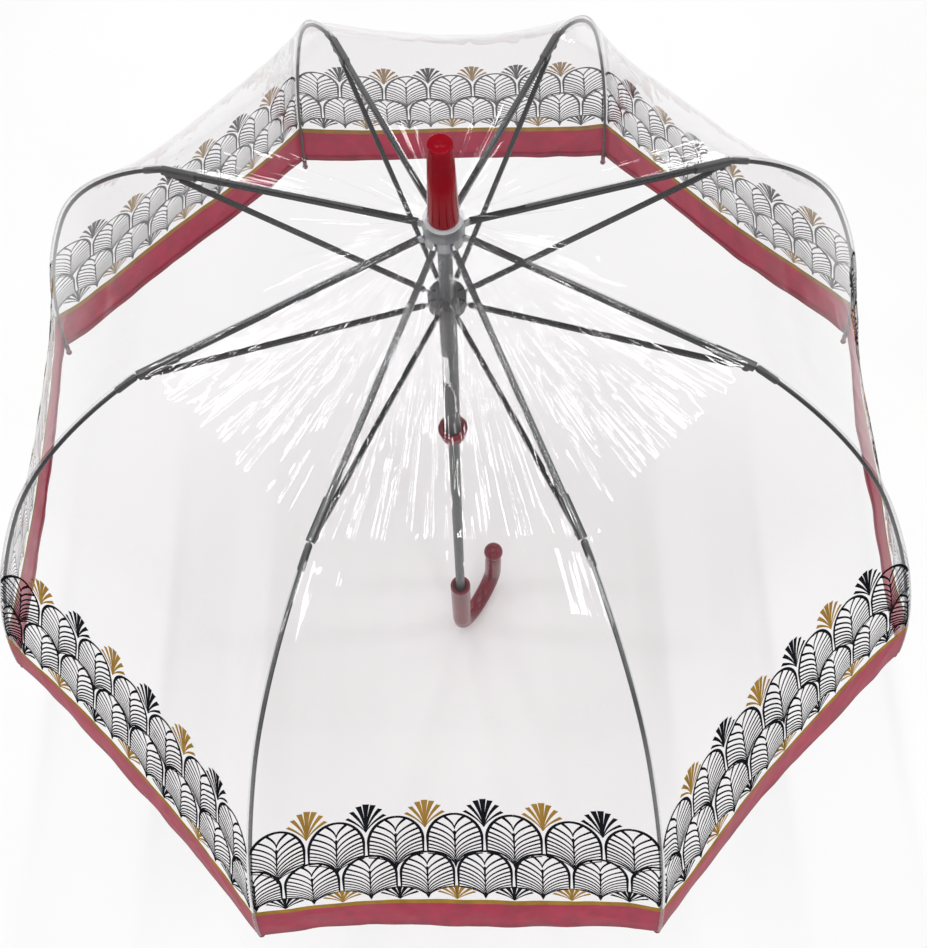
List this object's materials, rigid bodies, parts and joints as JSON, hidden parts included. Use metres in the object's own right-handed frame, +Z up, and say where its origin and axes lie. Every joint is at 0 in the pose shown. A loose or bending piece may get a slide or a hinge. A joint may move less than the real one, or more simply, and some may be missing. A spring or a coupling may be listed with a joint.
{
  "type": "umbrella",
  "caption": "Clear dome umbrella standing open, with ribs, stretchers and sprung rods, a sliding runner, a printed film canopy, a tapered ferrule and a glossy crook handle.",
  "frame": {"origin": "on the shaft's axis, level with the lowest point of the crook", "axes": "+Z up along the shaft to the ferrule; the crook points between +X and +Y"},
  "size_m": [0.7854, 0.7854, 0.94],
  "materials": {
    "shaft_paint": "dark grey enamel, semi-gloss",
    "handle_gloss": "deep burgundy, glossy, slightly translucent",
    "ferrule_gloss": "red, glossy",
    "film": "clear flexible film with a printed border",
    "black_plastic": "black, satin",
    "steel": "bare spring steel wire",
    "sleeve_grey": "dark grey, semi-gloss",
    "black_paint": "black enamel",
    "rod_paint": "dark grey enamel"
  },
  "bodies": {
    "root": {"shaft": "shaft_paint", "handle": "handle_gloss", "ferrule": "ferrule_gloss", "canopy_rosette": "film", "top_notch": "black_plastic", "notch_ring": "steel"},
    "runner": {"runner_hub": "black_plastic", "runner_ring": "steel", "runner_sleeve": "sleeve_grey", "runner_collar": "handle_gloss"},
    "top_catch": {"top_catch": "steel"},
    "bottom_catch": {"bottom_catch": "steel"},
    "rib_1": {"rib_1": "black_paint", "rib_joint_1": "black_plastic", "canopy_panel_1": "film"},
    "rod_upper_1": {"rod_upper_1": "rod_paint"},
    "rod_lower_1": {"rod_lower_1": "rod_paint"},
    "stretcher_1": {"stretcher_1": "black_paint"},
    "rib_2": {"rib_2": "black_paint", "rib_joint_2": "black_plastic", "canopy_panel_2": "film"},
    "rod_upper_2": {"rod_upper_2": "rod_paint"},
    "rod_lower_2": {"rod_lower_2": "rod_paint"},
    "stretcher_2": {"stretcher_2": "black_paint"},
    "rib_3": {"rib_3": "black_paint", "rib_joint_3": "black_plastic", "canopy_panel_3": "film"},
    "rod_upper_3": {"rod_upper_3": "rod_paint"},
    "rod_lower_3": {"rod_lower_3": "rod_paint"},
    "stretcher_3": {"stretcher_3": "black_paint"},
    "rib_4": {"rib_4": "black_paint", "rib_joint_4": "black_plastic", "canopy_panel_4": "film"},
    "rod_upper_4": {"rod_upper_4": "rod_paint"},
    "rod_lower_4": {"rod_lower_4": "rod_paint"},
    "stretcher_4": {"stretcher_4": "black_paint"},
    "rib_5": {"rib_5": "black_paint", "rib_joint_5": "black_plastic", "canopy_panel_5": "film"},
    "rod_upper_5": {"rod_upper_5": "rod_paint"},
    "rod_lower_5": {"rod_lower_5": "rod_paint"},
    "stretcher_5": {"stretcher_5": "black_paint"},
    "rib_6": {"rib_6": "black_paint", "rib_joint_6": "black_plastic", "canopy_panel_6": "film"},
    "rod_upper_6": {"rod_upper_6": "rod_paint"},
    "rod_lower_6": {"rod_lower_6": "rod_paint"},
    "stretcher_6": {"stretcher_6": "black_paint"},
    "rib_7": {"rib_7": "black_paint", "rib_joint_7": "black_plastic", "canopy_panel_7": "film"},
    "rod_upper_7": {"rod_upper_7": "rod_paint"},
    "rod_lower_7": {"rod_lower_7": "rod_paint"},
    "stretcher_7": {"stretcher_7": "black_paint"},
    "rib_8": {"rib_8": "black_paint", "rib_joint_8": "black_plastic", "canopy_panel_8": "film"},
    "rod_upper_8": {"rod_upper_8": "rod_paint"},
    "rod_lower_8": {"rod_lower_8": "rod_paint"},
    "stretcher_8": {"stretcher_8": "black_paint"}
  },
  "joints": [
    {"name": "fold", "type": "hinge", "parent": "root", "child": "rib_1", "pos_m": [0.01016, 0.00421, 0.8545], "axis": [-0.3827, 0.9239, 0], "range_deg": [0, 74.5], "deforming": ["canopy_panel_1", "canopy_panel_2", "canopy_panel_3", "canopy_panel_4", "canopy_panel_5", "canopy_panel_6", "canopy_panel_7", "canopy_panel_8", "top_catch", "bottom_catch"]},
    {"name": "stretcher_1_swing", "type": "hinge", "parent": "rib_1", "child": "stretcher_1", "pos_m": [0.19064, 0.07896, 0.81653], "axis": [-0.3827, 0.9239, 0], "range_deg": [-149, 0]},
    {"name": "rod_1_bend", "type": "hinge", "parent": "rib_1", "child": "rod_upper_1", "pos_m": [0.19769, 0.08189, 0.81912], "axis": [-0.3827, 0.9239, 0], "range_deg": [-37.25, 0]},
    {"name": "rod_1_flex", "type": "hinge", "parent": "rod_upper_1", "child": "rod_lower_1", "pos_m": [0.33036, 0.13684, 0.65244], "axis": [-0.3827, 0.9239, 0], "range_deg": [-24, 0]},
    {"name": "rib_2_fold", "type": "hinge", "parent": "root", "child": "rib_2", "pos_m": [0.00421, 0.01016, 0.8545], "axis": [-0.9239, 0.3827, 0], "range_deg": [0, 74.5]},
    {"name": "stretcher_2_swing", "type": "hinge", "parent": "rib_2", "child": "stretcher_2", "pos_m": [0.07896, 0.19064, 0.81653], "axis": [-0.9239, 0.3827, 0], "range_deg": [-149, 0]},
    {"name": "rod_2_bend", "type": "hinge", "parent": "rib_2", "child": "rod_upper_2", "pos_m": [0.08189, 0.19769, 0.81912], "axis": [-0.9239, 0.3827, 0], "range_deg": [-37.25, 0]},
    {"name": "rod_2_flex", "type": "hinge", "parent": "rod_upper_2", "child": "rod_lower_2", "pos_m": [0.13684, 0.33036, 0.65244], "axis": [-0.9239, 0.3827, 0], "range_deg": [-24, 0]},
    {"name": "rib_3_fold", "type": "hinge", "parent": "root", "child": "rib_3", "pos_m": [-0.00421, 0.01016, 0.8545], "axis": [-0.9239, -0.3827, 0], "range_deg": [0, 74.5]},
    {"name": "stretcher_3_swing", "type": "hinge", "parent": "rib_3", "child": "stretcher_3", "pos_m": [-0.07896, 0.19064, 0.81653], "axis": [-0.9239, -0.3827, 0], "range_deg": [-149, 0]},
    {"name": "rod_3_bend", "type": "hinge", "parent": "rib_3", "child": "rod_upper_3", "pos_m": [-0.08189, 0.19769, 0.81912], "axis": [-0.9239, -0.3827, 0], "range_deg": [-37.25, 0]},
    {"name": "rod_3_flex", "type": "hinge", "parent": "rod_upper_3", "child": "rod_lower_3", "pos_m": [-0.13684, 0.33036, 0.65244], "axis": [-0.9239, -0.3827, 0], "range_deg": [-24, 0]},
    {"name": "rib_4_fold", "type": "hinge", "parent": "root", "child": "rib_4", "pos_m": [-0.01016, 0.00421, 0.8545], "axis": [-0.3827, -0.9239, 0], "range_deg": [0, 74.5]},
    {"name": "stretcher_4_swing", "type": "hinge", "parent": "rib_4", "child": "stretcher_4", "pos_m": [-0.19064, 0.07896, 0.81653], "axis": [-0.3827, -0.9239, 0], "range_deg": [-149, 0]},
    {"name": "rod_4_bend", "type": "hinge", "parent": "rib_4", "child": "rod_upper_4", "pos_m": [-0.19769, 0.08189, 0.81912], "axis": [-0.3827, -0.9239, 0], "range_deg": [-37.25, 0]},
    {"name": "rod_4_flex", "type": "hinge", "parent": "rod_upper_4", "child": "rod_lower_4", "pos_m": [-0.33036, 0.13684, 0.65244], "axis": [-0.3827, -0.9239, 0], "range_deg": [-24, 0]},
    {"name": "rib_5_fold", "type": "hinge", "parent": "root", "child": "rib_5", "pos_m": [-0.01016, -0.00421, 0.8545], "axis": [0.3827, -0.9239, 0], "range_deg": [0, 74.5]},
    {"name": "stretcher_5_swing", "type": "hinge", "parent": "rib_5", "child": "stretcher_5", "pos_m": [-0.19064, -0.07896, 0.81653], "axis": [0.3827, -0.9239, 0], "range_deg": [-149, 0]},
    {"name": "rod_5_bend", "type": "hinge", "parent": "rib_5", "child": "rod_upper_5", "pos_m": [-0.19769, -0.08189, 0.81912], "axis": [0.3827, -0.9239, 0], "range_deg": [-37.25, 0]},
    {"name": "rod_5_flex", "type": "hinge", "parent": "rod_upper_5", "child": "rod_lower_5", "pos_m": [-0.33036, -0.13684, 0.65244], "axis": [0.3827, -0.9239, 0], "range_deg": [-24, 0]},
    {"name": "rib_6_fold", "type": "hinge", "parent": "root", "child": "rib_6", "pos_m": [-0.00421, -0.01016, 0.8545], "axis": [0.9239, -0.3827, 0], "range_deg": [0, 74.5]},
    {"name": "stretcher_6_swing", "type": "hinge", "parent": "rib_6", "child": "stretcher_6", "pos_m": [-0.07896, -0.19064, 0.81653], "axis": [0.9239, -0.3827, 0], "range_deg": [-149, 0]},
    {"name": "rod_6_bend", "type": "hinge", "parent": "rib_6", "child": "rod_upper_6", "pos_m": [-0.08189, -0.19769, 0.81912], "axis": [0.9239, -0.3827, 0], "range_deg": [-37.25, 0]},
    {"name": "rod_6_flex", "type": "hinge", "parent": "rod_upper_6", "child": "rod_lower_6", "pos_m": [-0.13684, -0.33036, 0.65244], "axis": [0.9239, -0.3827, 0], "range_deg": [-24, 0]},
    {"name": "rib_7_fold", "type": "hinge", "parent": "root", "child": "rib_7", "pos_m": [0.00421, -0.01016, 0.8545], "axis": [0.9239, 0.3827, 0], "range_deg": [0, 74.5]},
    {"name": "stretcher_7_swing", "type": "hinge", "parent": "rib_7", "child": "stretcher_7", "pos_m": [0.07896, -0.19064, 0.81653], "axis": [0.9239, 0.3827, 0], "range_deg": [-149, 0]},
    {"name": "rod_7_bend", "type": "hinge", "parent": "rib_7", "child": "rod_upper_7", "pos_m": [0.08189, -0.19769, 0.81912], "axis": [0.9239, 0.3827, 0], "range_deg": [-37.25, 0]},
    {"name": "rod_7_flex", "type": "hinge", "parent": "rod_upper_7", "child": "rod_lower_7", "pos_m": [0.13684, -0.33036, 0.65244], "axis": [0.9239, 0.3827, 0], "range_deg": [-24, 0]},
    {"name": "rib_8_fold", "type": "hinge", "parent": "root", "child": "rib_8", "pos_m": [0.01016, -0.00421, 0.8545], "axis": [0.3827, 0.9239, 0], "range_deg": [0, 74.5]},
    {"name": "stretcher_8_swing", "type": "hinge", "parent": "rib_8", "child": "stretcher_8", "pos_m": [0.19064, -0.07896, 0.81653], "axis": [0.3827, 0.9239, 0], "range_deg": [-149, 0]},
    {"name": "rod_8_bend", "type": "hinge", "parent": "rib_8", "child": "rod_upper_8", "pos_m": [0.19769, -0.08189, 0.81912], "axis": [0.3827, 0.9239, 0], "range_deg": [-37.25, 0]},
    {"name": "rod_8_flex", "type": "hinge", "parent": "rod_upper_8", "child": "rod_lower_8", "pos_m": [0.33036, -0.13684, 0.65244], "axis": [0.3827, 0.9239, 0], "range_deg": [-24, 0]},
    {"name": "runner_travel", "type": "hinge", "parent": "stretcher_1", "child": "runner", "pos_m": [0.01016, 0.00421, 0.77856], "axis": [-0.3827, 0.9239, 0], "range_deg": [0, 74.5]},
    {"name": "top_catch_press", "type": "hinge", "parent": "root", "child": "top_catch", "pos_m": [0, 0, 0.5053], "axis": [1, 0, 0], "range_deg": [0, 3.5], "stiffness_Nm_per_rad": 0.2},
    {"name": "bottom_catch_press", "type": "hinge", "parent": "root", "child": "bottom_catch", "pos_m": [0, 0, 0.227], "axis": [1, 0, 0], "range_deg": [0, 4], "stiffness_Nm_per_rad": 0.2}
  ],
  "couplings": [
    {"joint": "stretcher_1_swing", "follows": "fold", "ratio": -2},
    {"joint": "rod_1_bend", "follows": "fold", "ratio": -0.5},
    {"joint": "rod_1_flex", "follows": "fold", "ratio": -0.3157},
    {"joint": "rib_2_fold", "follows": "fold", "ratio": 1},
    {"joint": "stretcher_2_swing", "follows": "fold", "ratio": -2},
    {"joint": "rod_2_bend", "follows": "fold", "ratio": -0.5},
    {"joint": "rod_2_flex", "follows": "fold", "ratio": -0.3157},
    {"joint": "rib_3_fold", "follows": "fold", "ratio": 1},
    {"joint": "stretcher_3_swing", "follows": "fold", "ratio": -2},
    {"joint": "rod_3_bend", "follows": "fold", "ratio": -0.5},
    {"joint": "rod_3_flex", "follows": "fold", "ratio": -0.3157},
    {"joint": "rib_4_fold", "follows": "fold", "ratio": 1},
    {"joint": "stretcher_4_swing", "follows": "fold", "ratio": -2},
    {"joint": "rod_4_bend", "follows": "fold", "ratio": -0.5},
    {"joint": "rod_4_flex", "follows": "fold", "ratio": -0.3157},
    {"joint": "rib_5_fold", "follows": "fold", "ratio": 1},
    {"joint": "stretcher_5_swing", "follows": "fold", "ratio": -2},
    {"joint": "rod_5_bend", "follows": "fold", "ratio": -0.5},
    {"joint": "rod_5_flex", "follows": "fold", "ratio": -0.3157},
    {"joint": "rib_6_fold", "follows": "fold", "ratio": 1},
    {"joint": "stretcher_6_swing", "follows": "fold", "ratio": -2},
    {"joint": "rod_6_bend", "follows": "fold", "ratio": -0.5},
    {"joint": "rod_6_flex", "follows": "fold", "ratio": -0.3157},
    {"joint": "rib_7_fold", "follows": "fold", "ratio": 1},
    {"joint": "stretcher_7_swing", "follows": "fold", "ratio": -2},
    {"joint": "rod_7_bend", "follows": "fold", "ratio": -0.5},
    {"joint": "rod_7_flex", "follows": "fold", "ratio": -0.3157},
    {"joint": "rib_8_fold", "follows": "fold", "ratio": 1},
    {"joint": "stretcher_8_swing", "follows": "fold", "ratio": -2},
    {"joint": "rod_8_bend", "follows": "fold", "ratio": -0.5},
    {"joint": "rod_8_flex", "follows": "fold", "ratio": -0.3157},
    {"joint": "runner_travel", "follows": "fold", "ratio": 1}
  ]
}
